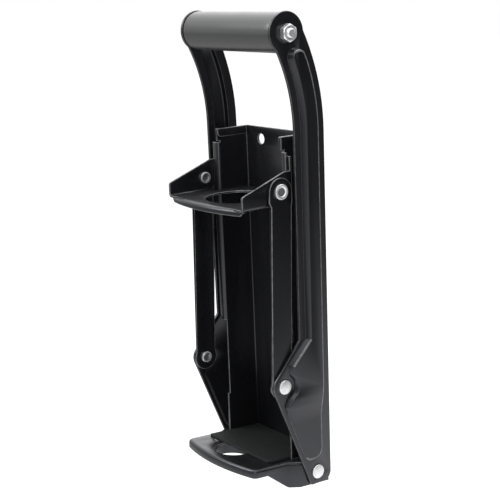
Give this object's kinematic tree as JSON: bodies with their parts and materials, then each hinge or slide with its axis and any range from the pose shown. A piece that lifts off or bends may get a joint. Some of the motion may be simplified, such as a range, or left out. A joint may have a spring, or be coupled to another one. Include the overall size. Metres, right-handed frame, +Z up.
{
  "type": "lever can crusher",
  "caption": "Wall-mounted lever can crusher: a folded channel over a shelf, with two levers and links that pull a sliding press plate down onto a can.",
  "frame": {"origin": "centre of the four wall holes, on the rear face of the channel, which lies on the wall", "axes": "+Z up, along the channel; +Y into the wall; +X to the right of a user who faces the wall"},
  "size_m": [0.109, 0.0685, 0.3183],
  "materials": {
    "black_coated_steel": "black powder coat, satin, slightly textured",
    "mat_black": "matt black with a fine dotted surface",
    "grip_grey": "satin grey",
    "zinc_steel": "bright zinc plate"
  },
  "bodies": {
    "frame": {"back_channel": "black_coated_steel", "base_tray": "black_coated_steel", "base_mat": "mat_black", "pivot_rivet_left": "zinc_steel", "pivot_rivet_right": "zinc_steel"},
    "handle": {"lever_left": "black_coated_steel", "lever_right": "black_coated_steel", "grip_sleeve": "grip_grey", "grip_tube": "zinc_steel", "handle_rod": "zinc_steel", "handle_nut_left": "zinc_steel", "handle_nut_right": "zinc_steel", "joint_rivet_head_left": "zinc_steel", "joint_rivet_head_right": "zinc_steel"},
    "press": {"press_carriage": "black_coated_steel", "press_rivet_left": "zinc_steel", "press_rivet_right": "zinc_steel"},
    "left_link": {"link_left": "black_coated_steel", "joint_rivet_tail_left": "zinc_steel"},
    "right_link": {"link_right": "black_coated_steel", "joint_rivet_tail_right": "zinc_steel"}
  },
  "joints": [
    {"name": "handle_swing", "type": "hinge", "parent": "frame", "child": "handle", "pos_m": [0, -0.013, -0.11], "axis": [1, 0, 0], "range_deg": [0, 120]},
    {"name": "press_slide", "type": "slide", "parent": "frame", "child": "press", "axis": [0, 0, -1], "range_m": [0, 0.1241]},
    {"name": "link_left_swing", "type": "hinge", "parent": "press", "child": "left_link", "pos_m": [-0.0431, -0.0344, 0.085], "axis": [1, 0, 0], "range_deg": [-8.27, 0]},
    {"name": "link_right_swing", "type": "hinge", "parent": "press", "child": "right_link", "pos_m": [0.0431, -0.0344, 0.085], "axis": [1, 0, 0], "range_deg": [-8.27, 0]}
  ],
  "couplings": [
    {"joint": "press_slide", "follows": "handle_swing", "m_per_rad": 0.059186},
    {"joint": "link_left_swing", "follows": "handle_swing", "ratio": -0.068741},
    {"joint": "link_right_swing", "follows": "handle_swing", "ratio": -0.068741}
  ]
}
